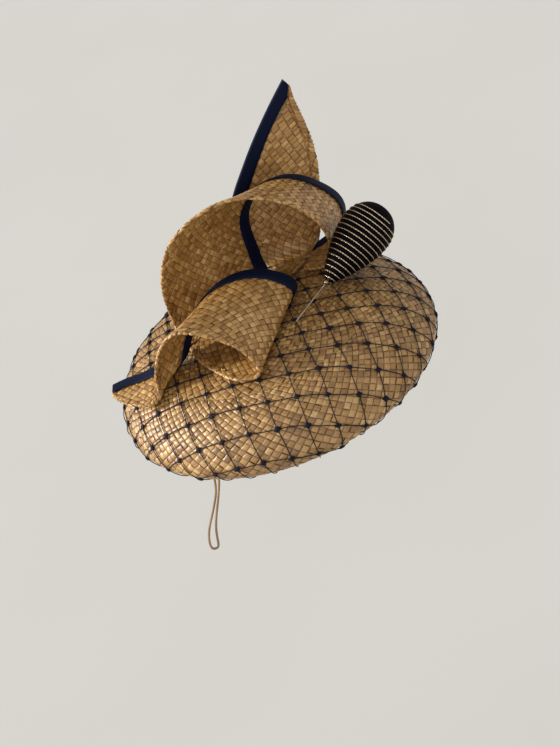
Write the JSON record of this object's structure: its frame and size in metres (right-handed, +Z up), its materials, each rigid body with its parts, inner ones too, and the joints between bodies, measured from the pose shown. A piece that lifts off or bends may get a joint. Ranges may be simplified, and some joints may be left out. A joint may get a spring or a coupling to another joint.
{
  "type": "percher hat",
  "caption": "Round woven-straw percher hat under open veiling, trimmed with a wired, ribbon-edged straw strip in loops and a tall point, and held by a cord-wound hat pin and a round elastic.",
  "frame": {"origin": "centre of the round head opening, in the plane of the rim", "axes": "+Z up through the crown; -Y towards the side where the curls open; +X towards the hat pin's head"},
  "size_m": [0.1966, 0.1966, 0.2065],
  "materials": {
    "straw": "woven straw, satin",
    "buckram": "stiff open cotton",
    "lining": "soft satin",
    "petersham": "ribbed matt ribbon",
    "veiling": "open matt net",
    "navy_ribbon": "ribbed ribbon, low sheen",
    "navy_thread": "matt thread",
    "navy_cord": "matt wound cord",
    "gold_thread": "metallic thread",
    "bronze_bead": "soft metallic",
    "pin_core": "bare",
    "pin_steel": "bright",
    "wire": "plain",
    "elastic": "round woven elastic"
  },
  "bodies": {
    "hat": {"crown_straw": "straw", "crown_foundation": "buckram", "crown_lining": "lining", "veiling_net": "veiling", "rim_wire": "wire", "net_gather_thread": "navy_thread", "headband_ribbon": "petersham", "front_curl_straw": "straw", "front_curl_binding": "navy_ribbon", "front_curl_wire": "wire", "rear_loop_straw": "straw", "rear_loop_binding": "navy_ribbon", "rear_loop_wire": "wire", "spire_straw": "straw", "spire_binding": "navy_ribbon", "spire_wire": "wire", "hat_elastic": "elastic", "elastic_knots": "elastic"},
    "pin": {"pin_shank": "pin_steel", "pin_bead": "bronze_bead", "pin_core": "pin_core", "pin_winding": "navy_cord", "pin_gold_thread": "gold_thread"}
  },
  "joints": [
    {"name": "hat_pin_slide", "type": "slide", "parent": "hat", "child": "pin", "axis": [0.8755, 0.3491, 0.334], "range_m": [0, 0.06]}
  ]
}
